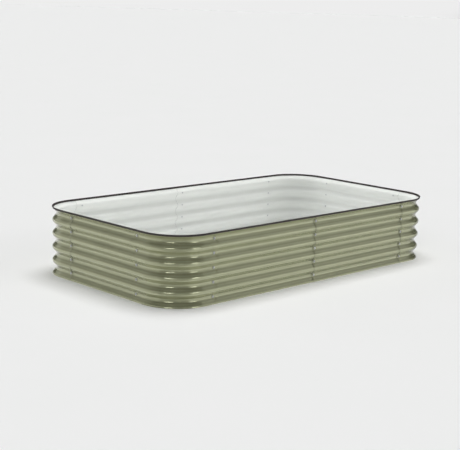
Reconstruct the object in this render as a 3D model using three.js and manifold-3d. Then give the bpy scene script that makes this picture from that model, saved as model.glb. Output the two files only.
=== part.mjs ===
// A raised garden bed, bolted up from corrugated steel panels with rounded corners.
//
// Millimetres. The origin is on the ground in the middle of the bed, +X runs along the long sides,
// +Y points to the back and +Z up. The bed has no floor: it stands on the bottom edges of its panels.
//
// The sheets are corrugated in height, so each one is a single upright section carried along its own
// piece of the bed's plan. Where two sheets lap, one lies a layer step outside the other, and a row of
// bolts goes through both, one bolt in each valley.

import * as THREE from "three";
import { mergeVertices } from "three/addons/utils/BufferGeometryUtils.js";
import Module from "manifold-3d";

const wasm = await Module();
wasm.setup();

// ---- Driving dimensions ----

const bedLength = 2416; // over the crests of the corner panels
const bedWidth = 1306; // over the crests of the corner panels
const cornerRadius = 250; // of the corner panels, at their crests
const cornerLeg = 337; // from the bed's outside to the bolts on a corner panel's leg

const ribPitch = 86.4; // from crest to crest
const ribCount = 5;
const ribDepth = 24; // from crest to valley
const flankAngle = THREE.MathUtils.degToRad(40); // of the straight part between two bends
const edgeSetback = 3; // a sheet's top and bottom edges are cut this far short of a crest

const sheetThickness = 0.8;
const sheetGap = 0.35; // between two lapped sheets, where they are closest
const outerLap = 20; // how far the outer sheet of a seam runs past the bolts
const innerLap = 40; // how far the inner sheet of a seam runs past the bolts

const trimLip = 9.5; // how far the rubber trim reaches down each side of the sheet
const trimWall = 1.5;
const trimTop = 2; // rubber above the sheet's top edge
const trimRound = 0.9; // the trim's rounded upper corners
const trimClearance = 0.4; // between the trim and the sheets in it

const boltDiameter = 6;
const boltClearance = 1; // between a bolt and its hole, all round
const washerDiameter = 15;
const washerThickness = 1.2;
const headDiameter = 11;
const headCrownDiameter = 6.4; // the flat on top of the domed head
const headHeight = 3.4;
const nutAcrossFlats = 10;
const nutHeight = 7; // of the closed nut
const seatGap = 0.3; // between a washer or a nut and the sheet

const bendFacets = 6; // flats that make up a corner's bend
const roundSides = 6; // sides of the bolts, the nuts and their holes

// ---- Sizes that follow ----

const halfTurn = Math.PI;
const quarterTurn = Math.PI / 2;
const layerStep = (sheetThickness + sheetGap) / Math.cos(flankAngle);
const sheetHeight = ribCount * ribPitch - 2 * edgeSetback;

// The crest planes of the inner layer. The corner panels are one layer step outside them.
const sideCrest = bedWidth / 2 - layerStep;
const endCrest = bedLength / 2 - layerStep;
const innerRadius = cornerRadius - layerStep;

// Between the bolt rows of one panel.
const endSpan = bedWidth - 2 * cornerLeg;
const sideSpan = (bedLength - 2 * cornerLeg) / 2;

const valleyHeights = Array.from({ length: ribCount }, (_, i) => (i + 0.5) * ribPitch - edgeSetback);

const materials = {
  paintedSheet: new THREE.MeshStandardMaterial({ color: "#9a9d7e", roughness: 0.42, metalness: 0.1 }),
  rubber: new THREE.MeshStandardMaterial({ color: "#3f3835", roughness: 0.75, metalness: 0 }),
  zincSteel: new THREE.MeshStandardMaterial({ color: "#b9bab8", roughness: 0.35, metalness: 0.9 }),
};

// ---- The corrugation ----

// A bend is drawn with three flats that touch it: one at the crest, one at half of the flank's angle,
// and the flank itself. Their two corners, as distances from the crest line and behind the crest plane:
const bendRadius =
  ((Math.tan(flankAngle) * ribPitch / 2 - ribDepth) * Math.cos(flankAngle)) / (2 * (1 - Math.cos(flankAngle)));
const firstCorner = { along: bendRadius * Math.tan(flankAngle / 4), behind: 0 };
const outerReach = bendRadius / Math.cos(flankAngle / 4);
const secondCorner = {
  along: outerReach * Math.sin(flankAngle * 3 / 4),
  behind: bendRadius - outerReach * Math.cos(flankAngle * 3 / 4),
};

// The corners between a crest and the next valley, going away from the crest.
const halfPitch = ribPitch / 2;
const halfRib = [
  firstCorner,
  secondCorner,
  { along: halfPitch - secondCorner.along, behind: ribDepth - secondCorner.behind },
  { along: halfPitch - firstCorner.along, behind: ribDepth },
];

// How far the outer face of a sheet lies behind its crest plane at a height above the ground.
function setback(height) {
  const fromLine = Math.abs(THREE.MathUtils.euclideanModulo(height + edgeSetback + halfPitch, ribPitch) - halfPitch);
  const corners = [{ along: 0, behind: 0 }, ...halfRib, { along: halfPitch, behind: ribDepth }];
  const next = corners.findIndex((corner, i) => i > 0 && corner.along >= fromLine - 1e-9);
  const [low, high] = [corners[next - 1], corners[next]];
  return THREE.MathUtils.mapLinear(fromLine, low.along, high.along, low.behind, high.behind);
}

// The sheet's thickness measured level, which is more on a flank than on a crest.
function levelThickness(height) {
  const reach = 0.01;
  const slope = (setback(height + reach) - setback(height - reach)) / (2 * reach);
  return sheetThickness * Math.hypot(1, slope);
}

// The heights of all of the corrugation's corners between two heights, and those two themselves.
function cornerHeights(bottom, top) {
  const heights = [bottom, top];
  for (let rib = 0; rib <= ribCount; rib++) {
    for (const { along } of halfRib) {
      const crest = rib * ribPitch - edgeSetback;
      heights.push(crest - along, crest + along);
    }
  }
  return heights.filter((z) => z >= bottom && z <= top).sort((a, b) => a - b);
}

// The section of a sheet, as [outwards, up] from its crest plane, anticlockwise.
function sheetSection() {
  const heights = cornerHeights(0, sheetHeight);
  const outerFace = heights.map((z) => [-setback(z), z]);
  const innerFace = heights.map((z) => [-setback(z) - levelThickness(z), z]);
  return [...outerFace, ...innerFace.reverse()];
}

// ---- Solids from sections ----

// Carries a section along stations on the plan. A station is the point { x, y } where the section's
// [0, up] line stands, and the level direction { outX, outY } that the section's outwards axis takes.
// Seen from above, the stations run clockwise round the bed: outwards is on their left.
function sweep(section, stations, closed = false) {
  const positions = stations.flatMap(({ x, y, outX, outY, shift = 0 }) =>
    section.flatMap(([out, up]) => [x + outX * (out + shift), y + outY * (out + shift), up]),
  );
  const faces = [];
  const count = section.length;
  const spans = closed ? stations.length : stations.length - 1;
  for (let s = 0; s < spans; s++) {
    const here = s * count;
    const there = ((s + 1) % stations.length) * count;
    for (let i = 0; i < count; i++) {
      const j = (i + 1) % count;
      faces.push(here + i, here + j, there + i, there + i, here + j, there + j);
    }
  }
  if (!closed) {
    const outline = section.map(([out, up]) => new THREE.Vector2(out, up));
    const last = (stations.length - 1) * count;
    for (const [a, b, c] of THREE.ShapeUtils.triangulateShape(outline, [])) {
      faces.push(a, c, b, last + a, last + b, last + c);
    }
  }
  const geometry = new THREE.BufferGeometry();
  geometry.setAttribute("position", new THREE.Float32BufferAttribute(positions, 3));
  geometry.setIndex(faces);
  return geometry;
}

// A closed mesh as a solid that can be joined and cut.
function solidFrom(geometry) {
  const bare = geometry.clone().deleteAttribute("normal").deleteAttribute("uv");
  const merged = mergeVertices(bare, 1e-4);
  return new wasm.Manifold(
    new wasm.Mesh({
      numProp: 3,
      vertProperties: new Float32Array(merged.attributes.position.array),
      triVerts: new Uint32Array(merged.index.array),
    }),
  );
}

function geometryFrom(solid) {
  const { vertProperties, triVerts } = solid.getMesh();
  const geometry = new THREE.BufferGeometry();
  geometry.setAttribute("position", new THREE.BufferAttribute(vertProperties, 3));
  geometry.setIndex(new THREE.BufferAttribute(triVerts, 1));
  geometry.computeVertexNormals();
  return geometry;
}

// Drills a sheet through every valley at each [x, y, turn]: a place on the plan at the crest plane, and
// how far the outward direction there is turned from +Y.
function drilled(geometry, places) {
  const length = 4 * ribDepth;
  const radius = boltDiameter / 2 + boltClearance;
  let solid = solidFrom(geometry);
  for (const [x, y, turn] of places) {
    for (const z of valleyHeights) {
      const drill = new THREE.CylinderGeometry(radius, radius, length, roundSides);
      drill.rotateZ(turn).translate(x, y, z);
      solid = solid.subtract(solidFrom(drill));
    }
  }
  return geometryFrom(solid);
}

// ---- Panels ----

// A corner panel round its bend's centre, covering the +X, +Y quarter.
function cornerPanelGeometry() {
  const legBolts = cornerLeg - cornerRadius;
  const legEnd = legBolts + outerLap;
  const stations = [{ x: -legEnd, y: innerRadius, outX: 0, outY: 1, shift: layerStep }];
  for (let i = 0; i <= bendFacets; i++) {
    const angle = quarterTurn * (1 - i / bendFacets);
    const [outX, outY] = [Math.cos(angle), Math.sin(angle)];
    stations.push({ x: innerRadius * outX, y: innerRadius * outY, outX, outY, shift: layerStep });
  }
  stations.push({ x: innerRadius, y: -legEnd, outX: 1, outY: 0, shift: layerStep });
  return drilled(sweep(sheetSection(), stations), [
    [-legBolts, innerRadius, 0],
    [innerRadius, -legBolts, -quarterTurn],
  ]);
}

// A straight panel along X with its outside towards +Y, centred between its two bolt rows. Each end has
// its lap past the bolts and its layer: 0 for the inner sheet of the seam, 1 for the outer one.
function straightPanelGeometry(span, start, end) {
  const stations = [
    { x: -span / 2 - start.lap, y: 0, outX: 0, outY: 1, shift: start.layer * layerStep },
    { x: span / 2 + end.lap, y: 0, outX: 0, outY: 1, shift: end.layer * layerStep },
  ];
  return drilled(sweep(sheetSection(), stations), [
    [-span / 2, 0, 0],
    [span / 2, 0, 0],
  ]);
}

// ---- Edge trim ----

// A rubber channel that follows the top of the corrugation, with a slot wide enough for two layers.
function trimSection() {
  const bottom = sheetHeight - trimLip;
  const heights = cornerHeights(bottom, sheetHeight);
  const top = sheetHeight + trimTop;
  const slotOut = (z) => -setback(z) + layerStep + trimClearance;
  const slotIn = (z) => -setback(z) - levelThickness(z) - trimClearance;
  const crown = [
    [slotOut(sheetHeight) + trimWall, top - trimRound],
    [slotOut(sheetHeight) + trimWall - trimRound, top],
    [slotIn(sheetHeight) - trimWall + trimRound, top],
    [slotIn(sheetHeight) - trimWall, top - trimRound],
  ];
  const slotTop = sheetHeight + trimClearance;
  const downwards = [...heights].reverse();
  return [
    ...heights.map((z) => [slotOut(z) + trimWall, z]),
    ...crown,
    ...downwards.map((z) => [slotIn(z) - trimWall, z]),
    ...heights.map((z) => [slotIn(z), z]),
    [slotIn(sheetHeight), slotTop],
    [slotOut(sheetHeight), slotTop],
    ...downwards.map((z) => [slotOut(z), z]),
  ];
}

// Once round the bed, clockwise from the back left bend.
function trimGeometry() {
  const bends = [
    { x: innerRadius - endCrest, y: sideCrest - innerRadius, from: halfTurn },
    { x: endCrest - innerRadius, y: sideCrest - innerRadius, from: quarterTurn },
    { x: endCrest - innerRadius, y: innerRadius - sideCrest, from: 0 },
    { x: innerRadius - endCrest, y: innerRadius - sideCrest, from: -quarterTurn },
  ];
  const stations = bends.flatMap((bend) =>
    Array.from({ length: bendFacets + 1 }, (_, i) => {
      const angle = bend.from - (quarterTurn * i) / bendFacets;
      const [outX, outY] = [Math.cos(angle), Math.sin(angle)];
      return { x: bend.x + innerRadius * outX, y: bend.y + innerRadius * outY, outX, outY };
    }),
  );
  return sweep(trimSection(), stations, true);
}

// ---- Bolt sets ----

// A domed bolt with its washer and closed nut, tightened. It points outwards along +Y, and 0 is the
// outer face of the inner sheet at the bottom of a valley.
function boltSetGeometry() {
  // The washer bridges the hollow of the valley and touches the slopes on either side.
  const bridge = setback(valleyHeights[0]) - setback(valleyHeights[0] + washerDiameter / 2);
  const seatOut = layerStep + bridge + seatGap;
  const seatIn = -sheetThickness - seatGap;
  const headSeat = seatOut + washerThickness;
  const nutCorner = nutAcrossFlats / Math.sqrt(3);
  const profile = [
    [0, seatIn - nutHeight],
    [nutCorner, seatIn - nutHeight],
    [nutCorner, seatIn],
    [boltDiameter / 2, seatIn],
    [boltDiameter / 2, seatOut],
    [washerDiameter / 2, seatOut],
    [washerDiameter / 2, headSeat],
    [headDiameter / 2, headSeat],
    [headCrownDiameter / 2, headSeat + headHeight],
    [0, headSeat + headHeight],
  ];
  return new THREE.LatheGeometry(profile.map(([r, y]) => new THREE.Vector2(r, y)), roundSides);
}

// ---- Assembly ----

const bed = new THREE.Group();

function addMesh(parent, name, geometry, material) {
  const mesh = new THREE.Mesh(geometry, material);
  mesh.name = name;
  parent.add(mesh);
  return mesh;
}

const cornerPanel = cornerPanelGeometry();
["back_right", "back_left", "front_left", "front_right"].forEach((place, i) => {
  const mesh = addMesh(bed, `corner_panel_${place}`, cornerPanel, materials.paintedSheet);
  const toRight = place.endsWith("right") ? 1 : -1;
  const toBack = place.startsWith("back") ? 1 : -1;
  mesh.position.set(toRight * (endCrest - innerRadius), toBack * (sideCrest - innerRadius), 0);
  mesh.rotation.z = i * quarterTurn;
});

const inner = { lap: innerLap, layer: 0 };
const outer = { lap: outerLap, layer: 1 };
const sidePanelUnder = straightPanelGeometry(sideSpan, inner, inner);
const sidePanelOver = straightPanelGeometry(sideSpan, inner, outer);
const endPanel = straightPanelGeometry(endSpan, inner, inner);
const boltSet = boltSetGeometry();

// Each side is built looking at it from inside the bed, with its outside towards +Y, and then turned
// into place. Its ends are named from -X to +X before the turn.
const sides = [
  { name: "back", ends: ["left", "right"], turn: 0, crest: sideCrest, span: sideSpan, panels: 2 },
  { name: "front", ends: ["right", "left"], turn: halfTurn, crest: sideCrest, span: sideSpan, panels: 2 },
  { name: "right", ends: ["back", "front"], turn: -quarterTurn, crest: endCrest, span: endSpan, panels: 1 },
  { name: "left", ends: ["front", "back"], turn: quarterTurn, crest: endCrest, span: endSpan, panels: 1 },
];

// The holes that have no bolt set.
const freeHoles = ["bolt_set_back_middle_1"];

for (const side of sides) {
  const group = new THREE.Group();
  group.rotation.z = side.turn;
  bed.add(group);

  if (side.panels === 2) {
    const over = addMesh(group, `${side.name}_panel_${side.ends[0]}`, sidePanelOver, materials.paintedSheet);
    over.position.set(-side.span / 2, side.crest, 0);
    const under = addMesh(group, `${side.name}_panel_${side.ends[1]}`, sidePanelUnder, materials.paintedSheet);
    under.position.set(side.span / 2, side.crest, 0);
  } else {
    addMesh(group, `${side.name}_end_panel`, endPanel, materials.paintedSheet).position.set(0, side.crest, 0);
  }

  const seamNames = side.panels === 2 ? [side.ends[0], "middle", side.ends[1]] : side.ends;
  seamNames.forEach((seam, i) => {
    const x = side.span * (i - side.panels / 2);
    valleyHeights.forEach((z, row) => {
      const name = `bolt_set_${side.name}_${seam}_${row + 1}`;
      if (freeHoles.includes(name)) return;
      addMesh(group, name, boltSet, materials.zincSteel).position.set(x, side.crest - ribDepth, z);
    });
  });
}

addMesh(bed, "edge_trim", trimGeometry(), materials.rubber);

export default bed;
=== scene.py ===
# %% [markdown]
# # A raised garden bed
#
# The real bed is a bottomless ring of steel sheet, bolted up from ten panels. Each panel was
# roll-formed: rollers pressed five waves into a flat, painted sheet. Four panels were then bent
# through 90 degrees to make the round corners. A rubber channel covers the sharp rim, and fifty
# bolts hold the seams.
#
# This lesson makes each of those parts the way the workshop does. A line of edges takes the shape
# of the waves, it's carried along the plan of the bed, the thin surface gets its thickness, and
# then holes are drilled through it. The finishes are made from nodes alone, with no pictures.

import math

import bmesh
import bpy
from mathutils import Matrix, Vector
from mathutils.kdtree import KDTree


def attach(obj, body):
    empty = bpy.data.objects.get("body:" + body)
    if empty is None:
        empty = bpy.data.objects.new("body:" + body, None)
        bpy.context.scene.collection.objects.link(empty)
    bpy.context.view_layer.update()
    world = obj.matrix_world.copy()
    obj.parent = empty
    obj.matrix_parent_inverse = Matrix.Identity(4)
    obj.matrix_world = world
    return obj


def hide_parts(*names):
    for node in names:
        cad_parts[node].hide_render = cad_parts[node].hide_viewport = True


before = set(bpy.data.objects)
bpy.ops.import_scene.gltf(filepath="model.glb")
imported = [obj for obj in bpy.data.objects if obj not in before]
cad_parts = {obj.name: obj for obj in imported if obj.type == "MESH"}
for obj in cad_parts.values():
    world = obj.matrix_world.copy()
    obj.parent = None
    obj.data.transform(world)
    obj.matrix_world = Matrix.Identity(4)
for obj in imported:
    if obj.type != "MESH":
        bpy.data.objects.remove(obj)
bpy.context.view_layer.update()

# %% [markdown]
# ## Sizes
#
# Blender works in metres and sheet metal workers in millimetres, so one factor turns the second
# into the first. Every size has a name, and is written once. That way a longer bed, or a deeper
# wave, is a change in one line, and no number has to be looked for in the rest of the script.

# %% The bed's sizes
MM = 0.001
quarter_turn = math.pi / 2

bed_length = 2416 * MM
bed_width = 1306 * MM
corner_radius = 250 * MM
corner_leg = 337 * MM  # from the bed's outside to the bolts on a corner panel's leg

rib_pitch = 86.4 * MM
rib_count = 5
rib_depth = 24 * MM
flank_angle = math.radians(40)
edge_setback = 3 * MM  # the sheet's edges are cut this far short of a crest

sheet_thickness = 0.8 * MM
sheet_gap = 0.35 * MM
outer_lap = 20 * MM
inner_lap = 40 * MM

# %% Sizes that follow from them
# Two lapped sheets come closest on their flanks, which lean, so the level step between them is
# longer than a sheet and its gap.
layer_step = (sheet_thickness + sheet_gap) / math.cos(flank_angle)
sheet_height = rib_count * rib_pitch - 2 * edge_setback
valley_heights = [(i + 0.5) * rib_pitch - edge_setback for i in range(rib_count)]

side_crest = bed_width / 2 - layer_step
end_crest = bed_length / 2 - layer_step
bend_radius = corner_radius - layer_step
end_span = bed_width - 2 * corner_leg
side_span = (bed_length - 2 * corner_leg) / 2
leg_bolts = corner_leg - corner_radius

# A wave is a round crest, a straight flank and a round valley. The flank leans by flank_angle, so
# its length and the radius of the rounds follow from the depth and the pitch.
half_pitch = rib_pitch / 2
wave_radius = (half_pitch * math.tan(flank_angle) - rib_depth) / (
    2 * (math.sin(flank_angle) * math.tan(flank_angle) - (1 - math.cos(flank_angle))))
flank_length = (half_pitch - 2 * wave_radius * math.sin(flank_angle)) / math.cos(flank_angle)
print(f"wave radius {wave_radius / MM:.2f} mm, flank {flank_length / MM:.2f} mm")

# %% [markdown]
# ## Colour and nodes
#
# A hex colour such as #a9aa89 is stored for a screen, which isn't how light adds up. Blender's
# sockets want linear values, so one function turns each channel into them. A second function adds
# a node, sets its inputs and makes its links in one call, which keeps a material short enough to
# read from top to bottom. Both are used by every finish below.

# %% One function for colour, one for nodes
def linear_colour(hex_code):
    """An sRGB hex colour as the linear RGBA that a shader socket wants."""
    channels = [int(hex_code[i:i + 2], 16) / 255 for i in (1, 3, 5)]
    linear = [c / 12.92 if c <= 0.04045 else ((c + 0.055) / 1.055) ** 2.4 for c in channels]
    return (*linear, 1)


def add_node(tree, kind, settings=(), **inputs):
    """Adds a node. Settings are its own options. An input is a value or another node's output."""
    node = tree.nodes.new("ShaderNode" + kind)
    for name, value in dict(settings).items():
        setattr(node, name, value)
    for name, value in inputs.items():
        key = int(name[1:]) if name[0] == "_" else name.replace("_", " ")
        if isinstance(value, bpy.types.NodeSocket):
            tree.links.new(value, node.inputs[key])
        else:
            node.inputs[key].default_value = value
    return node


def start_finish(name):
    """A new node material, its node tree and the coordinates that its patterns are laid out in."""
    finish = bpy.data.materials.new(name)
    finish.use_nodes = True
    finish.node_tree.nodes.clear()
    return finish, finish.node_tree, add_node(finish.node_tree, "TexCoord").outputs["Object"]


def end_finish(tree, shader):
    add_node(tree, "OutputMaterial", Surface=shader.outputs["BSDF"])


# %% [markdown]
# ## Sage green paint
#
# The outside is coil-coated steel: a polyester paint with fine metal flake, rolled on and baked
# before the sheet is formed. The flake mirrors softly, so a flank that faces a dark ceiling goes
# dark and one that faces the floor stays light. That is why half of the surface is metallic here,
# and the rest is plain pigment. A clear coat over it gives the small bright streaks on the round
# corner.
#
# The rollers draw faint level lines along a panel as it runs through them. A Wave texture that
# runs up the wall gives them on all four sides and round the bends. The flake lies unevenly in
# clouds about 150 mm across, and the sheet is never quite flat, so a noise of 17 mm lifts it by a
# few microns.

# %% The painted finish
line_pitch = 14 * MM
wave_texture_metre = 2 * math.pi / 20  # the width of one band of a Wave texture at scale 1
flake_clouds, sheet_waver = 6.5, 60.0  # noise cells per metre


def sage_coil_coating():
    finish, tree, place = start_finish("sage_metallic_coil_coating_satin")
    rolls = add_node(tree, "TexWave", dict(bands_direction="Z"), Vector=place,
                     Scale=wave_texture_metre / line_pitch)
    clouds = add_node(tree, "TexNoise", Vector=place, Scale=flake_clouds, Detail=3.0)
    waver = add_node(tree, "TexNoise", Vector=place, Scale=sheet_waver, Detail=1.0)

    lines = add_node(tree, "Mix", Factor=0.5, _2=rolls.outputs["Fac"], _3=clouds.outputs["Fac"])
    colour = add_node(tree, "Mix", dict(data_type="RGBA"), Factor=lines.outputs["Result"],
                      _6=linear_colour("#979a79"), _7=linear_colour("#b4b795"))
    gloss = add_node(tree, "MapRange", Value=clouds.outputs["Fac"], To_Min=0.14, To_Max=0.19)
    skin = add_node(tree, "Bump", Strength=0.05, Distance=0.05 * MM, Height=waver.outputs["Fac"])
    paint = add_node(tree, "BsdfPrincipled", Base_Color=colour.outputs[2], Metallic=0.5,
                     Roughness=gloss.outputs["Result"], Specular_Tint=(0.6, 0.6, 0.6, 1),
                     Coat_Weight=0.9, Coat_Roughness=0.08, Normal=skin.outputs["Normal"])
    end_finish(tree, paint)
    return finish


paint_finish = sage_coil_coating()


# %% [markdown]
# ## Off-white backing coat
#
# The inside faces have the mill's backing coat: a thin, pale grey-white polyester with no flake.
# It isn't metallic, so it keeps its own colour in every direction and the waves show only as soft
# shade. Backing coats are a little uneven and scuffed by the rollers, which the roughness and the
# faint lines carry.

# %% The backing finish
roller_lines = (0.9, 0.9, 140)  # noise cells per metre along X, along Y and upwards
scuff_marks, orange_peel = 28.0, 300.0  # noise cells per metre


def backing_coat():
    finish, tree, place = start_finish("off_white_backing_coat")
    lay = add_node(tree, "Mapping", Vector=place, Scale=roller_lines)
    lines = add_node(tree, "TexNoise", Vector=lay.outputs["Vector"], Scale=1.0, Detail=3.0)
    scuffs = add_node(tree, "TexNoise", Vector=place, Scale=scuff_marks, Detail=4.0)
    peel = add_node(tree, "TexNoise", Vector=place, Scale=orange_peel, Detail=2.0)
    colour = add_node(tree, "Mix", dict(data_type="RGBA"), Factor=lines.outputs["Fac"],
                      _6=linear_colour("#ebeeea"), _7=linear_colour("#f2f4f0"))
    gloss = add_node(tree, "MapRange", Value=scuffs.outputs["Fac"], To_Min=0.32, To_Max=0.5)
    skin = add_node(tree, "Bump", Strength=0.08, Distance=0.1 * MM, Height=peel.outputs["Fac"])
    coat = add_node(tree, "BsdfPrincipled", Base_Color=colour.outputs[2],
                    Roughness=gloss.outputs["Result"], Normal=skin.outputs["Normal"])
    end_finish(tree, coat)
    return finish


backing_finish = backing_coat()


# %% [markdown]
# ## Cut edges and fasteners
#
# Where the sheet was cut, the paint ends and the zinc coated steel shows as a thin line. Its grey
# is darker than bare zinc. That darkness is painted shade: it stands for the shadow that each
# lapped edge throws on the sheet below it, so that the seams show as dark lines. The bolts,
# washers and nuts are steel too, plated with zinc and left bright. Both are metals: the colour is
# in the mirror, and the roughness says how it was finished. Sheared steel is coarse and plating is
# smooth.
# Zinc grows small crystals and dulls in patches, which a Voronoi pattern and a noise stand for.

# %% The zinc finishes
crystals_per_patch = 3


def zinc(name, dull, bright, rough_low, rough_high, crystals):
    """Zinc on steel. The crystals are given as cells per metre."""
    finish, tree, place = start_finish(name)
    grains = add_node(tree, "TexVoronoi", Vector=place, Scale=crystals)
    patches = add_node(tree, "TexNoise", Vector=place, Scale=crystals / crystals_per_patch,
                       Detail=3.0)
    colour = add_node(tree, "Mix", dict(data_type="RGBA"), Factor=grains.outputs["Color"],
                      _6=linear_colour(dull), _7=linear_colour(bright))
    gloss = add_node(tree, "MapRange", Value=patches.outputs["Fac"], To_Min=rough_low,
                     To_Max=rough_high)
    skin = add_node(tree, "Bump", Strength=0.1, Distance=0.05 * MM, Height=patches.outputs["Fac"])
    metal = add_node(tree, "BsdfPrincipled", Base_Color=colour.outputs[2], Metallic=1.0,
                     Roughness=gloss.outputs["Result"], Normal=skin.outputs["Normal"])
    end_finish(tree, metal)
    return finish


# The cut edge's two greys are darker than bare zinc: they paint in the shadow at each lapped seam.
edge_finish_with_painted_shade = zinc("sheared_galvanised_edge_with_painted_shade", "#5f615e", "#747672", 0.5, 0.7, 1 / (2 * MM))
fastener_finish = zinc("bright_zinc_plated_steel", "#c6c8c9", "#dfe0e0", 0.2, 0.38,
                       1 / (1.5 * MM))


# %% [markdown]
# ## Rubber rim
#
# The rim is an extruded EPDM rubber channel, filled with carbon black. It's matte, nearly black
# with a slight brown cast, and it picks up dust. Extrusion leaves very fine lines along it, and a
# faint bloom in patches, so the lines run level here too.

# %% The rubber finish
extrusion_lines = (4, 4, 900)  # noise cells per metre along X, along Y and upwards
dusty_bloom = 22.0  # noise cells per metre


def extruded_rubber():
    finish, tree, place = start_finish("matte_extruded_epdm_rubber")
    lay = add_node(tree, "Mapping", Vector=place, Scale=extrusion_lines)
    lines = add_node(tree, "TexNoise", Vector=lay.outputs["Vector"], Scale=1.0, Detail=2.0)
    bloom = add_node(tree, "TexNoise", Vector=place, Scale=dusty_bloom, Detail=4.0)
    colour = add_node(tree, "Mix", dict(data_type="RGBA"), Factor=bloom.outputs["Fac"],
                      _6=linear_colour("#2d2827"), _7=linear_colour("#3d3635"))
    gloss = add_node(tree, "MapRange", Value=bloom.outputs["Fac"], To_Min=0.6, To_Max=0.78)
    skin = add_node(tree, "Bump", Strength=0.15, Distance=0.1 * MM, Height=lines.outputs["Fac"])
    rubber = add_node(tree, "BsdfPrincipled", Base_Color=colour.outputs[2],
                      Roughness=gloss.outputs["Result"], Specular_IOR_Level=0.35,
                      Normal=skin.outputs["Normal"])
    end_finish(tree, rubber)
    return finish


rubber_finish = extruded_rubber()


# %% [markdown]
# ## The waves
#
# A roll-formed wave is round at its crest and valley and straight between them. Spinning a single
# vertex about the centre of a bend draws a true arc, and extruding that vertex draws the flank.
# Two such strokes, turned the other way each time, draw the whole height of the sheet as one line
# of edges.
#
# The line starts at a crest above the top edge and ends at one below the bottom edge. Cutting it
# with a plane at each end leaves the sheet's real height, with its edges just short of a crest.

# %% Draw one upright line of waves
bend_steps = 6  # edges in the 40 degrees from a crest to its flank
flank_support = 1.5 * MM  # a short edge beside each bend keeps the flank's shading flat


def last_vertex(result):
    return next(v for v in result if isinstance(v, bmesh.types.BMVert))


def wave_line(mesh, start):
    """The height of a sheet as a line of edges in the YZ plane, with its outside towards +Y."""
    first_crest = start + Vector((0, 0, sheet_height + edge_setback))
    tip = bmesh.ops.create_vert(mesh, co=first_crest)["vert"][0]
    lean = 0.0  # of the line at its tip: 0 on a crest or in a valley, flank_angle on a flank
    for half_rib in range(2 * rib_count):
        leaving_crest = half_rib % 2 == 0
        for part in ("bend", "flank", "bend"):
            if part == "flank":
                down = Vector((0, -math.sin(lean), -math.cos(lean)))
                for length in (flank_support, flank_length - 2 * flank_support, flank_support):
                    made = bmesh.ops.extrude_vert_indiv(mesh, verts=[tip])
                    tip = made["verts"][0]
                    bmesh.ops.translate(mesh, verts=[tip], vec=down * length)
            else:
                # The first bend leans the line, and the second one brings it back upright.
                change = flank_angle if (lean == 0) == leaving_crest else -flank_angle
                centre_side = -1 if change > 0 else 1
                out = Vector((0, math.cos(lean), -math.sin(lean)))
                centre = tip.co + out * centre_side * wave_radius
                made = bmesh.ops.spin(mesh, geom=[tip], cent=centre, axis=(1, 0, 0),
                                      angle=-change, steps=bend_steps)
                tip = last_vertex(made["geom_last"])
                lean += change
    for height, keep_below in ((sheet_height, True), (0.0, False)):
        bmesh.ops.bisect_plane(mesh, geom=mesh.verts[:] + mesh.edges[:], plane_co=(0, 0, height),
                               plane_no=(0, 0, 1), clear_outer=keep_below,
                               clear_inner=not keep_below)
    return mesh.edges[:]


trial = bmesh.new()
wave_line(trial, Vector((0, 0, 0)))
print(f"one line of waves: {len(trial.edges)} edges, "
      f"from {min(v.co.z for v in trial.verts) / MM:.1f} mm "
      f"to {max(v.co.z for v in trial.verts) / MM:.1f} mm high, "
      f"{-min(v.co.y for v in trial.verts) / MM:.1f} mm deep")
trial.free()


# %% [markdown]
# ## Carrying the line along the bed
#
# A straight panel is the line pulled along, and a corner panel is the line pulled, spun through 90
# degrees and pulled again. A short stretch either side of each row of bolts keeps the drilled
# holes from disturbing the long smooth faces beside them.
#
# The surface is turned outwards before it gets its thickness. Solidify then adds the inner face,
# with a second finish for it, and a third finish for the cut edge. It works at right angles to the
# sheet, so the cut edges come out slightly tilted, and the last step sets them level again, as
# shears do.

# %% Pull, bend and thicken a sheet
hole_room = 7 * MM  # either side of a row of bolts
sheet_finishes = (paint_finish, backing_finish, edge_finish_with_painted_shade)  # outside, inside, cut edge
inside_place, cut_edge_place = 1, 2  # in that row
edge_tilt = sheet_thickness / 4  # more than Solidify tilts a cut edge
flattest_crease = 35  # degrees: a sheet's bends are flatter than this, and its corners sharper


def pull(mesh, edges, move):
    """Pulls a line of edges along and returns the edges at the far end."""
    made = bmesh.ops.extrude_edge_only(mesh, edges=edges)["geom"]
    new = [g for g in made if isinstance(g, bmesh.types.BMVert)]
    bmesh.ops.translate(mesh, verts=new, vec=move)
    return [g for g in made if isinstance(g, bmesh.types.BMEdge) and set(g.verts) <= set(new)]


def bend_corner(mesh, edges, centre, steps):
    """Spins edges through 90 degrees, clockwise seen from above, and returns the last ones."""
    points = list(dict.fromkeys(v for e in edges for v in e.verts))
    last = bmesh.ops.spin(mesh, geom=points + edges, cent=centre, axis=(0, 0, 1),
                          angle=-quarter_turn, steps=steps)["geom_last"]
    return [g for g in last if isinstance(g, bmesh.types.BMEdge)]


def face_outwards(mesh, outside):
    """Turns an open sheet's faces the same way, so that the furthest one faces out."""
    bmesh.ops.recalc_face_normals(mesh, faces=mesh.faces)
    furthest = max(mesh.faces, key=lambda f: f.calc_center_median().dot(outside))
    if furthest.normal.dot(outside) < 0:
        bmesh.ops.reverse_faces(mesh, faces=mesh.faces)


def baked_mesh(obj):
    """The object's mesh as its modifiers leave it. The object itself is removed."""
    graph = bpy.context.evaluated_depsgraph_get()
    mesh = bpy.data.meshes.new_from_object(obj.evaluated_get(graph))
    bpy.data.objects.remove(obj)
    return mesh


def new_object(name, mesh):
    if isinstance(mesh, bmesh.types.BMesh):
        data = bpy.data.meshes.new(name)
        mesh.to_mesh(data)
        mesh.free()
        mesh = data
    obj = bpy.data.objects.new(name, mesh)
    bpy.context.scene.collection.objects.link(obj)
    return obj


def smooth_but_for_edges(mesh, angle=flattest_crease):
    mesh.shade_smooth()
    mesh.set_sharp_from_angle(angle=math.radians(angle))


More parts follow.
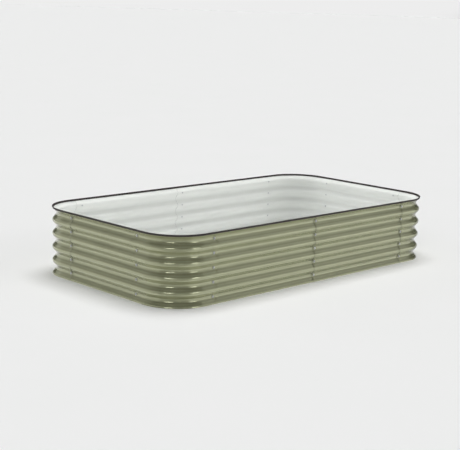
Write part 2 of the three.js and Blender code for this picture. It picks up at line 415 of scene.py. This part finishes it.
def thick_sheet(mesh, outside):
    """Gives a sheet's surface its thickness and its three finishes."""
    face_outwards(mesh, outside)
    sheet = new_object("sheet", mesh)
    for finish in sheet_finishes:
        sheet.data.materials.append(finish)
    wall = sheet.modifiers.new("thickness", "SOLIDIFY")
    wall.thickness = sheet_thickness
    wall.offset = -1
    wall.use_even_offset = True
    wall.material_offset = inside_place
    wall.material_offset_rim = cut_edge_place
    data = baked_mesh(sheet)
    for vertex in data.vertices:
        for edge_height in (0.0, sheet_height):
            if abs(vertex.co.z - edge_height) < edge_tilt:
                vertex.co.z = edge_height
    return data


# %% [markdown]
# ## Drilled holes
#
# Every seam has a hole through each valley, 2 mm wider than its bolt, so that the panels can be
# shifted a little while the bed is put together. A cylinder for each hole is taken away from the
# sheet with one Boolean, which is what a drill does. The cylinders' faces carry the finish of the
# cut edge.
#
# A Boolean also leaves long thin faces round each hole, which would shade unevenly. So each corner
# that the drills made takes its shading from the sheet as it was before, and the others keep
# theirs.

# %% Drill a sheet
bolt_diameter = 6 * MM
bolt_clearance = 1 * MM
hole_facets = 24
drill_length = 4 * rib_depth
same_place = sheet_thickness / 100  # two vertices closer together than this are one


def subtract(name, part, cutter):
    """The part's mesh with the cutter taken away from it. The cutter is removed afterwards."""
    whole = new_object(name, part)
    cut = whole.modifiers.new("cut", "BOOLEAN")
    cut.operation, cut.solver, cut.object = "DIFFERENCE", "EXACT", cutter
    data = baked_mesh(whole)
    bpy.data.objects.remove(cutter)
    return data


def seam_drills(rows):
    """A cylinder for each hole. A row is its place on the plan and its turn from +Y."""
    drills = bmesh.new()
    radius = bolt_diameter / 2 + bolt_clearance
    for x, y, turn in rows:
        for height in valley_heights:
            place = (Matrix.Translation((x, y, height)) @ Matrix.Rotation(turn, 4, "Z")
                     @ Matrix.Rotation(quarter_turn, 4, "X"))
            bmesh.ops.create_cone(drills, cap_ends=True, segments=hole_facets,
                                  depth=drill_length, radius1=radius, radius2=radius, matrix=place)
    for face in drills.faces:
        face.material_index = cut_edge_place
    cutter = new_object("drills", drills)
    for finish in sheet_finishes:
        cutter.data.materials.append(finish)
    return cutter


def shaded_as_before(after, before):
    """The drilled mesh, with the whole sheet's shading on the corners that the drills made."""
    old_vertices = KDTree(len(before.vertices))
    for vertex in before.vertices:
        old_vertices.insert(vertex.co, vertex.index)
    old_vertices.balance()
    new_vertices = [vertex.index for vertex in after.vertices
                    if old_vertices.find(vertex.co)[2] > same_place]
    whole = new_object("sheet_before_drilling", before)
    sheet = new_object("sheet", after)
    round_holes = sheet.vertex_groups.new(name="round the holes")
    round_holes.add(new_vertices, 1.0, "REPLACE")
    shading = sheet.modifiers.new("shading of the whole sheet", "DATA_TRANSFER")
    shading.object, shading.vertex_group = whole, round_holes.name
    shading.use_loop_data, shading.data_types_loops = True, {"CUSTOM_NORMAL"}
    shading.loop_mapping = "POLYINTERP_LNORPROJ"
    data = baked_mesh(sheet)
    bpy.data.objects.remove(whole)
    return data


def drilled(data, rows):
    """Drills a sheet through every valley, in each row."""
    drilled_data = subtract("sheet", data, seam_drills(rows))
    smooth_but_for_edges(drilled_data)
    smooth_but_for_edges(data)
    return shaded_as_before(drilled_data, data)


# %% [markdown]
# ## Corner panels and straight panels
#
# All four corner panels are one shape, and so are both end panels. A long side has two panels: one
# goes under its neighbours at both ends, and the other goes over in the middle, so it climbs by
# one layer along its length. Each shape is made once, about the middle of its own plan, and then
# copied into place. The place goes into the mesh, and the object itself stays at the origin.

# %% Make the four panel shapes
corner_steps = 30  # 3 degrees each, which keeps the outline round in a close view
flare_length, flare_height = 3 * MM, 0.8 * MM  # shears turn the end of an outer sheet out a little


def corner_panel_shape():
    mesh = bmesh.new()
    start_y = bend_radius + layer_step + flare_height
    edges = wave_line(mesh, Vector((-leg_bolts - outer_lap, start_y, 0)))
    edges = pull(mesh, edges, Vector((flare_length, -flare_height, 0)))
    to_corner = (outer_lap - flare_length - hole_room, 2 * hole_room, leg_bolts - hole_room)
    for length in to_corner:
        edges = pull(mesh, edges, Vector((length, 0, 0)))
    edges = bend_corner(mesh, edges, (0, 0, 0), corner_steps)
    for length in reversed(to_corner):
        edges = pull(mesh, edges, Vector((0, -length, 0)))
    pull(mesh, edges, Vector((flare_height, -flare_length, 0)))
    data = thick_sheet(mesh, Vector((1, 1, 0)).normalized())
    return drilled(data, [(-leg_bolts, bend_radius, 0), (bend_radius, -leg_bolts, -quarter_turn)])


def straight_panel_shape(span, start_lap, start_layer, end_lap, end_layer):
    """Along X, its outside towards +Y. Layer 0 is a seam's inner sheet, and 1 its outer one."""
    mesh = bmesh.new()
    length = start_lap + span + end_lap
    climb = (end_layer - start_layer) * layer_step / length
    edges = wave_line(mesh, Vector((-span / 2 - start_lap, start_layer * layer_step, 0)))
    middle = span - 2 * hole_room
    flare = flare_length * end_layer
    for part in (start_lap - hole_room, 2 * hole_room, middle / 2, middle / 2, 2 * hole_room,
                 end_lap - hole_room - flare):
        edges = pull(mesh, edges, Vector((part, part * climb, 0)))
    if flare:
        pull(mesh, edges, Vector((flare, flare_height, 0)))
    data = thick_sheet(mesh, Vector((0, 1, 0)))
    return drilled(data, [(-span / 2, 0, 0), (span / 2, 0, 0)])


corner_shape = corner_panel_shape()
under_shape = straight_panel_shape(side_span, inner_lap, 0, inner_lap, 0)
over_shape = straight_panel_shape(side_span, inner_lap, 0, outer_lap, 1)
end_shape = straight_panel_shape(end_span, inner_lap, 0, inner_lap, 0)
for shape in (corner_shape, under_shape, over_shape, end_shape):
    shape.calc_loop_triangles()
print("triangles in a corner, under, over and end panel:",
      [len(shape.loop_triangles) for shape in (corner_shape, under_shape, over_shape, end_shape)])


# %% Set the ten panels in place
pieces = []


def settle(name, shape, place, node=None):
    """Copies a shape into its place on the bed, and lets it stand for its CAD node."""
    data = shape.copy()
    data.transform(place)
    piece = new_object(name, data)
    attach(piece, "root")
    if node:
        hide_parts(node)
    pieces.append(piece)


for turns, corner in enumerate(("back_right", "back_left", "front_left", "front_right")):
    to_right = 1 if corner.endswith("right") else -1
    to_back = 1 if corner.startswith("back") else -1
    centre = (to_right * (end_crest - bend_radius), to_back * (side_crest - bend_radius), 0)
    place = Matrix.Translation(centre) @ Matrix.Rotation(turns * quarter_turn, 4, "Z")
    settle(f"painted_corner_panel_{corner}", corner_shape, place,
           f"corner_panel_{corner}")

# Each side is laid out as seen from inside the bed, and then turned. It has a name, the names of
# its ends from -X to +X, its turn, its distance from the middle of the bed, the span between two
# rows of bolts and the number of its panels.
sides = (
    ("back", ("left", "right"), 0, side_crest, side_span, 2),
    ("front", ("right", "left"), 2 * quarter_turn, side_crest, side_span, 2),
    ("right", ("back", "front"), -quarter_turn, end_crest, end_span, 1),
    ("left", ("front", "back"), quarter_turn, end_crest, end_span, 1),
)
for side, ends, turn, crest, span, panels in sides:
    turned = Matrix.Rotation(turn, 4, "Z")
    if panels == 2:
        for end, shape, x in ((ends[0], over_shape, -span / 2), (ends[1], under_shape, span / 2)):
            settle(f"painted_{side}_panel_{end}", shape,
                   turned @ Matrix.Translation((x, crest, 0)),
                   f"{side}_panel_{end}")
    else:
        settle(f"painted_{side}_end_panel", end_shape, turned @ Matrix.Translation((0, crest, 0)),
               f"{side}_end_panel")

# %% [markdown]
# ## The rubber channel on the rim
#
# The trim is a strip of rubber with a slot, pushed down over the cut edge. Its slot is wide enough
# for two sheets, because the panels lap at the seams. The line of the slot is drawn first: up the
# outside of the sheet, across the top and down the inside. Carried once round the bed and joined
# to its own start, it becomes a surface, and Solidify gives the rubber its wall. Bevel rounds the
# corners as an extruder's die does.

# %% Make the trim
trim_lip = 9.5 * MM
trim_wall = 1.6 * MM
trim_clearance = 0.4 * MM
trim_round, trim_round_steps = 0.8 * MM, 3
trim_round_from = 50  # degrees: only sharper corners than this are rounded
trim_crease = 60  # degrees: only sharper corners than this show as an edge
lip_steps = 5
merge_distance = 0.01 * MM


def slot_line(mesh, start):
    """The trim's slot as a line of edges: up the outside, over the top and down the inside."""
    crest_height = sheet_height + edge_setback
    low, high = sheet_height - trim_lip, sheet_height + trim_clearance
    outer_centre = Vector((0, layer_step + trim_clearance - wave_radius, crest_height))
    inner_radius = wave_radius - sheet_thickness
    inner_centre = Vector((0, -trim_clearance - wave_radius, crest_height))
    outer_low, outer_high = (math.asin((crest_height - z) / wave_radius) for z in (low, high))
    inner_low, inner_high = (math.asin((crest_height - z) / inner_radius) for z in (low, high))

    foot = outer_centre + wave_radius * Vector((0, math.cos(outer_low), -math.sin(outer_low)))
    tip = bmesh.ops.create_vert(mesh, co=start + foot)["vert"][0]
    up = bmesh.ops.spin(mesh, geom=[tip], cent=start + outer_centre, axis=(1, 0, 0),
                        angle=outer_low - outer_high, steps=lip_steps)
    tip = last_vertex(up["geom_last"])
    top = bmesh.ops.extrude_vert_indiv(mesh, verts=[tip])["verts"][0]
    across = inner_centre + inner_radius * Vector((0, math.cos(inner_high), -math.sin(inner_high)))
    bmesh.ops.translate(mesh, verts=[top], vec=start + across - top.co)
    bmesh.ops.spin(mesh, geom=[top], cent=start + inner_centre, axis=(1, 0, 0),
                   angle=inner_high - inner_low, steps=lip_steps)
    return mesh.edges[:]


def edge_trim_shape():
    mesh = bmesh.new()
    half_length, half_width = end_crest - bend_radius, side_crest - bend_radius
    edges = slot_line(mesh, Vector((-half_length, side_crest, 0)))
    runs = (Vector((2 * half_length, 0, 0)), Vector((0, -2 * half_width, 0)),
            Vector((-2 * half_length, 0, 0)), Vector((0, 2 * half_width, 0)))
    centres = ((half_length, half_width), (half_length, -half_width),
               (-half_length, -half_width), (-half_length, half_width))
    for run, (x, y) in zip(runs, centres):
        edges = pull(mesh, edges, run)
        edges = bend_corner(mesh, edges, (x, y, 0), corner_steps)
    bmesh.ops.remove_doubles(mesh, verts=mesh.verts, dist=merge_distance)
    face_outwards(mesh, Vector((0, 0, 1)))
    trim = new_object("trim", mesh)
    wall = trim.modifiers.new("rubber wall", "SOLIDIFY")
    wall.thickness, wall.offset, wall.use_even_offset = trim_wall, 1, True
    rounding = trim.modifiers.new("rounded by the die", "BEVEL")
    rounding.width, rounding.segments = trim_round, trim_round_steps
    rounding.limit_method, rounding.angle_limit = "ANGLE", math.radians(trim_round_from)
    data = baked_mesh(trim)
    smooth_but_for_edges(data, trim_crease)
    data.materials.append(rubber_finish)
    return data


trim_shape = edge_trim_shape()
settle("rubber_edge_trim", trim_shape, Matrix.Identity(4), "edge_trim")

# %% [markdown]
# ## Bolts, washers and cap nuts
#
# A seam is closed by a domed bolt with a hexagon socket, a washer under its head, and a closed nut
# on the inside, so that no thread sticks out into the soil. Bolt and washer are round, so half of
# their outline is spun once round the axis. The socket is a hexagonal prism taken away from the
# head. The nut is a hexagon with a dome on it. One set is made in detail and then copied fifty
# times.

# %% Make one bolt set, pointing outwards along +Y
washer_diameter = 15 * MM
washer_thickness = 1.2 * MM
head_diameter = 11 * MM
head_height = 3.4 * MM
head_edge_in, head_edge_up = 0.2 * MM, 0.3 * MM  # the rounding under the head's rim
head_rim = 0.5 * MM  # the dome starts this far above the head's seat
socket_across_flats = 4 * MM
socket_depth = 2.2 * MM
nut_across_flats = 10 * MM
nut_hexagon_height = 4.2 * MM
nut_height = 7 * MM
nut_edge, nut_edge_steps = 0.3 * MM, 2
cap_radius = 0.46 * nut_across_flats  # of the nut's dome
cap_sink = 1 * MM  # the dome starts this deep inside the hexagon
seat_gap = 0.3 * MM
washer_play = 0.2 * MM
washer_edge = 0.25 * MM
round_steps = 28
dome_steps = 7
fastener_crease = 40  # degrees

# The washer bridges the hollow of the valley and touches the slopes on either side.
bridge = wave_radius - math.sqrt(wave_radius ** 2 - (washer_diameter / 2) ** 2)
seat_out = layer_step + bridge + seat_gap
seat_in = -sheet_thickness - seat_gap
head_seat = seat_out + washer_thickness


def turned_part(mesh, outline):
    """Spins an outline of (radius, height) points once round the Y axis into a closed part."""
    before = set(mesh.verts)
    tip = bmesh.ops.create_vert(mesh, co=(outline[0][0], outline[0][1], 0))["vert"][0]
    for radius, height in outline[1:]:
        made = bmesh.ops.extrude_vert_indiv(mesh, verts=[tip])["verts"][0]
        bmesh.ops.translate(mesh, verts=[made], vec=Vector((radius, height, 0)) - made.co)
        tip = made
    line = [v for v in mesh.verts if v not in before]
    edges = [e for e in mesh.edges if not before & set(e.verts)]
    bmesh.ops.spin(mesh, geom=line + edges, cent=(0, 0, 0), axis=(0, 1, 0), angle=2 * math.pi,
                   steps=round_steps, use_merge=True)
    made = [v for v in mesh.verts if v not in before]
    bmesh.ops.remove_doubles(mesh, verts=made, dist=merge_distance)
    part = {v for v in mesh.verts if v not in before}
    bmesh.ops.recalc_face_normals(mesh, faces=[f for f in mesh.faces if set(f.verts) <= part])


def hexagon(mesh, across_flats, low, high):
    """A hexagonal prism along the Y axis."""
    radius = across_flats / math.sqrt(3)
    place = Matrix.Translation((0, (low + high) / 2, 0)) @ Matrix.Rotation(quarter_turn, 4, "X")
    return bmesh.ops.create_cone(mesh, cap_ends=True, segments=6, radius1=radius, radius2=radius,
                                 depth=high - low, matrix=place)["verts"]


def dome_points(radius, height, base):
    """Points of a dome's outline, from its rim at the base to its top on the axis."""
    ball = (radius ** 2 + height ** 2) / (2 * height)
    rim = math.asin(min(1.0, radius / ball))
    angles = [rim * (1 - i / dome_steps) for i in range(dome_steps + 1)]
    return [(ball * math.sin(angle), base + height - ball + ball * math.cos(angle))
            for angle in angles]


def bolt_set_shape():
    bolt = bmesh.new()
    shank, head = bolt_diameter / 2, head_diameter / 2
    shank_end = seat_in - nut_hexagon_height
    turned_part(bolt, [(0, shank_end), (shank, shank_end), (shank, head_seat),
                       (head - head_edge_in, head_seat), (head, head_seat + head_edge_up)]
                + dome_points(head, head_height - head_rim, head_seat + head_rim))
    socket = bmesh.new()
    head_top = head_seat + head_height
    hexagon(socket, socket_across_flats, head_top - socket_depth, head_top + head_height)
    bolt_data = subtract("bolt", bolt, new_object("socket", socket))

    whole = bmesh.new()
    whole.from_mesh(bolt_data)
    bore = shank + washer_play
    rim = washer_diameter / 2
    turned_part(whole, [(bore, seat_out), (rim - washer_edge, seat_out),
                        (rim, seat_out + washer_edge), (rim, head_seat - washer_edge),
                        (rim - washer_edge, head_seat), (bore, head_seat), (bore, seat_out)])
    nut = hexagon(whole, nut_across_flats, shank_end, seat_in)
    nut_edges = list(dict.fromkeys(e for v in nut for e in v.link_edges))
    bmesh.ops.bevel(whole, geom=nut_edges, affect="EDGES", offset=nut_edge,
                    segments=nut_edge_steps, profile=0.5, material=-1)
    cap_height = nut_height - nut_hexagon_height + cap_sink
    cap_base = seat_in + nut_hexagon_height - cap_sink
    cap = [(r, 2 * seat_in - y) for r, y in dome_points(cap_radius, cap_height, cap_base)]
    turned_part(whole, [(0, cap[0][1])] + cap)
    data = bpy.data.meshes.new("bolt_set")
    whole.to_mesh(data)
    whole.free()
    smooth_but_for_edges(data, fastener_crease)
    data.materials.append(fastener_finish)
    return data


bolt_shape = bolt_set_shape()
bolt_shape.calc_loop_triangles()
print("triangles in a bolt set:", len(bolt_shape.loop_triangles))

# %% [markdown]
# Hands tighten bolts, so no two sockets end up at the same angle. Each set is turned about its own
# axis by a fixed step that never repeats along a seam.

# %% Set fifty bolts in place
turn_step = math.radians(67)
placed = 0
for side, ends, turn, crest, span, panels in sides:
    seams = (ends[0], "middle", ends[1]) if panels == 2 else ends
    for i, seam in enumerate(seams):
        for row, height in enumerate(valley_heights, start=1):
            place = (Matrix.Rotation(turn, 4, "Z")
                     @ Matrix.Translation((span * (i - panels / 2), crest - rib_depth, height))
                     @ Matrix.Rotation(placed * turn_step, 4, "Y"))
            name = f"bolt_set_{side}_{seam}_{row}"
            # One set, low down at the back, has no node of its own in the CAD model.
            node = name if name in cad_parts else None
            settle(f"zinc_{name}", bolt_shape, place, node)
            placed += 1
print("bolt sets placed:", placed)

for used in (corner_shape, under_shape, over_shape, end_shape, trim_shape, bolt_shape):
    bpy.data.meshes.remove(used)

# %% [markdown]
# ## The CAD nodes' own finishes
#
# Every node is replaced above, but a node that is shown again later still ought to look right. So
# each one takes the finish of its slot.

# %% Give the CAD nodes their finishes
for name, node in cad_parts.items():
    finish = (fastener_finish if name.startswith("bolt_set") else
              rubber_finish if name == "edge_trim" else paint_finish)
    node.data.materials.clear()
    node.data.materials.append(finish)

# %% [markdown]
# ## Studio floor
#
# The bed stands on a seamless pale sweep of painted board. A wide disc is enough, because it's lit
# to the same value as the wall of light at the horizon, and its far edge disappears there. The
# disc is left out of mirror images, where the world's own light below the horizon takes its place:
# that light can be set for each direction, which a floor can't.

# %% The floor
floor_radius = 150.0
floor_steps = 96
floor_drop = 0.05 * MM  # keeps it clear of the panels' bottom edges
board_mottle, board_grain = 1.3, 120.0  # noise cells per metre


def studio_floor():
    mesh = bmesh.new()
    bmesh.ops.create_circle(mesh, cap_ends=True, segments=floor_steps, radius=floor_radius,
                            matrix=Matrix.Translation((0, 0, -floor_drop)))
    floor = new_object("studio_floor", mesh)
    finish, tree, place = start_finish("pale_matte_floor_paint")
    mottle = add_node(tree, "TexNoise", Vector=place, Scale=board_mottle, Detail=2.0)
    grain = add_node(tree, "TexNoise", Vector=place, Scale=board_grain, Detail=2.0)
    colour = add_node(tree, "Mix", dict(data_type="RGBA"), Factor=mottle.outputs["Fac"],
                      _6=linear_colour("#ecedec"), _7=linear_colour("#eeeeee"))
    skin = add_node(tree, "Bump", Strength=0.05, Distance=0.2 * MM, Height=grain.outputs["Fac"])
    board = add_node(tree, "BsdfDiffuse", Color=colour.outputs[2], Normal=skin.outputs["Normal"])
    end_finish(tree, board)
    floor.data.materials.append(finish)
    floor.visible_glossy = False


studio_floor()

# %% [markdown]
# ## Light
#
# A photographer lights glossy sheet metal with what it mirrors. Here that is a dark room with one
# large flat softbox overhead and a few grey panels round the walls. Each wave mirrors them one
# above the other: its underside takes the pale light from below, its face takes a panel, and the
# slope between them takes the dark room. Those bands of light and dark are what draws the form.
#
# Two small bright panels, one at each side of the camera, show as short streaks on every wave of
# the near corner. They are far away, so the streaks are the same at every height. A dark cloth
# before the camera and one at the right keep those two round corners darker than the walls beside
# them.
#
# The world can hold all of this without any lamps, because a world colour may depend on direction.
# For the softbox, x / z and y / z give the spot where a direction meets a level ceiling, and a
# rectangle on that ceiling is bright. A wall panel is a rectangle too, in bearing and height above
# the horizon.

# %% The studio as a world
horizon_light = 0.847  # the value of the pale background
horizon_height, horizon_fade = 1.2, 0.4  # degrees
room_light = 0.03
softbox_light = 6.15
softbox_x = (-0.22, 0.60)  # its edges on a ceiling at height 1
softbox_y = (-0.20, 0.42)
softbox_fade = 0.10
ceiling_from, ceiling_fade = 20, 4  # degrees above the horizon
lowest_z = 0.05  # below this, x / z would grow without end
straight_down, past_the_top = -90, 100  # degrees above the horizon
panel_fade = 2.0  # degrees
diagonal = 0.707  # along X and along Y, of a step of 1 between them

# Bearing from and to, height from and to, in degrees, and strength. Bearing 0 lies behind the
# camera and 90 off the left side of the picture. A negative strength is a black cloth.
wall_panels = (
    # off to the left, mirrored by the left wall
    (90, 135, 0, 5, 1.5),
    (90, 135, 5, 12, 0.3),
    (90, 135, 12, 20, 0.26),
    (90, 135, 20, 30, 0.6),
    (90, 135, 30, 42, 0.19),
    # behind the camera, mirrored by the near corner
    (45, 90, 12, 20, 1.0),
    (45, 90, 30, 42, 0.6),
    (0, 45, 20, 50, 0.08),
    (-45, 0, 20, 30, 0.12),
    # off to the right, mirrored by the front wall
    (-90, -45, 30, 42, 0.5),
    (-116, -90, 20, 42, 0.4),
    (-116, -90, 5, 20, 0.8),
    (-90, -45, 5, 20, 0.4),
    (-116, -45, 0, 5, 1.5),
    # the two dark cloths
    (-45, 45, -91, 1, -0.4),
    (-170, -112, -91, -1, -0.3),
    # the two bright panels for the streaks
    (2, 28, 24, 31, 7.5),
    (-70, -50, 20, 26, 7.5),
)

world = bpy.data.worlds.new("studio")
world.use_nodes = True
bpy.context.scene.world = world
sky = world.node_tree
sky.nodes.clear()


def do_maths(operation, a, b=0.0, c=0.0):
    return add_node(sky, "Math", dict(operation=operation), _0=a, _1=b, _2=c).outputs[0]


def between(value, low, high, fade):
    """1 from low to high and 0 outside them, with smooth steps as wide as fade."""
    up, down = (add_node(sky, "MapRange", dict(interpolation_type="SMOOTHSTEP"), Value=value,
                         From_Min=edge - fade / 2, From_Max=edge + fade / 2).outputs["Result"]
                for edge in (low, high))
    return do_maths("SUBTRACT", up, down)


def along(x, y):
    """How far the direction of view reaches along a level direction."""
    return add_node(sky, "VectorMath", dict(operation="DOT_PRODUCT"), _0=coordinates,
                    _1=(x, y, 0)).outputs["Value"]


coordinates = add_node(sky, "TexCoord").outputs["Generated"]
look = add_node(sky, "SeparateXYZ", Vector=coordinates)
elevation = do_maths("DEGREES", do_maths("ARCSINE", look.outputs["Z"]))
above = do_maths("MAXIMUM", look.outputs["Z"], lowest_z)
strength = between(elevation, straight_down, horizon_height, horizon_fade)
strength = do_maths("MULTIPLY_ADD", strength, horizon_light - room_light, room_light)
softbox = between(elevation, ceiling_from, past_the_top, ceiling_fade)
for axis, (low, high) in (("X", softbox_x), ("Y", softbox_y)):
    spot = do_maths("DIVIDE", look.outputs[axis], above)
    softbox = do_maths("MULTIPLY", softbox, between(spot, low, high, softbox_fade))
strength = do_maths("MULTIPLY_ADD", softbox, softbox_light, strength)
towards_camera = along(-diagonal, -diagonal)
to_the_left = along(-diagonal, diagonal)
bearing = do_maths("DEGREES", do_maths("ARCTAN2", to_the_left, towards_camera))
for left, right, low, high, light in wall_panels:
    panel = do_maths("MULTIPLY", between(bearing, left, right, panel_fade),
                     between(elevation, low, high, panel_fade))
    strength = do_maths("MULTIPLY_ADD", panel, light, strength)
studio = add_node(sky, "Background", Color=(1, 1, 1, 1), Strength=strength)
add_node(sky, "OutputWorld", Surface=studio.outputs["Background"])


# %% [markdown]
# Broad fills at the sides and behind open up the shade on the bed. They stand for big screens, so
# they are far away, which a Sun lamp is, and its angle is the size of the screen seen from the
# bed. A photographer flags such screens off the floor, so that the floor keeps its shadow, and
# Blender's light linking does the same. They don't show in the paint, which mirrors only the
# panels of the world.

# %% The lamps
bed_only = bpy.data.collections.new("lit_by_the_fills")
for piece in pieces:
    bed_only.objects.link(piece)


def far_lamp(name, azimuth, elevation, size, strength):
    """A far white lamp. Its angles are in degrees, and azimuth counts from +X towards +Y."""
    lamp = bpy.data.lights.new(name, "SUN")
    lamp.angle = math.radians(size)
    lamp.energy = strength
    lamp_object = bpy.data.objects.new(name, lamp)
    towards = Matrix.Rotation(math.radians(azimuth), 3, "Z") @ (
        Matrix.Rotation(math.radians(-elevation), 3, "Y") @ Vector((1, 0, 0)))
    lamp_object.rotation_euler = towards.to_track_quat("Z", "Y").to_euler()
    lamp_object.light_linking.receiver_collection = bed_only
    lamp_object.visible_glossy = False
    bpy.context.scene.collection.objects.link(lamp_object)


# Azimuth, elevation and size in degrees, and strength.
fills = (
    ("left_fill", 150, 25, 50, 0.56),
    ("low_left_fill", 150, 5, 30, 0.15),
    ("low_right_fill", -70, 5, 30, 0.78),
    ("high_back_fill", 100, 50, 40, 0.35),
)
for fill in fills:
    far_lamp(*fill)

# %% [markdown]
# ## Camera
#
# The view is from the front left, from a little above the rim and from far away, through a long
# lens, so the far side looks nearly as large as the near one. The place, the direction and the
# lens were worked out from where the bolts sit in the picture, which is 460 pixels wide. The
# camera's own axes are built from the two angles of its direction, and then rolled by less than
# two degrees.

# %% The camera
picture_width = 460
focal_pixels = 1134.2
camera_place = Vector((-5.2457, -5.2346, 1.7352))
camera_azimuth = math.radians(-44.32)
camera_elevation = math.radians(11.306)
camera_roll = math.radians(1.752)
sensor_width = 36.0  # millimetres, and so is the focal length that follows from it
furthest_seen = 500.0

looking = Vector((-math.sin(camera_azimuth) * math.cos(camera_elevation),
                  math.cos(camera_azimuth) * math.cos(camera_elevation),
                  -math.sin(camera_elevation)))
level_right = Vector((math.cos(camera_azimuth), math.sin(camera_azimuth), 0))
level_up = level_right.cross(looking)
camera_right = level_right * math.cos(camera_roll) + level_up * math.sin(camera_roll)
camera_up = level_up * math.cos(camera_roll) - level_right * math.sin(camera_roll)

lens = bpy.data.cameras.new("front_left_camera")
lens.sensor_width = sensor_width
lens.lens = focal_pixels / picture_width * sensor_width
lens.clip_end = furthest_seen
camera = bpy.data.objects.new("front_left_camera", lens)
camera.matrix_world = Matrix.Translation(camera_place) @ Matrix(
    (camera_right, camera_up, -looking)).transposed().to_4x4()
bpy.context.scene.collection.objects.link(camera)
bpy.context.scene.camera = camera
bpy.context.scene.view_settings.view_transform = "Standard"
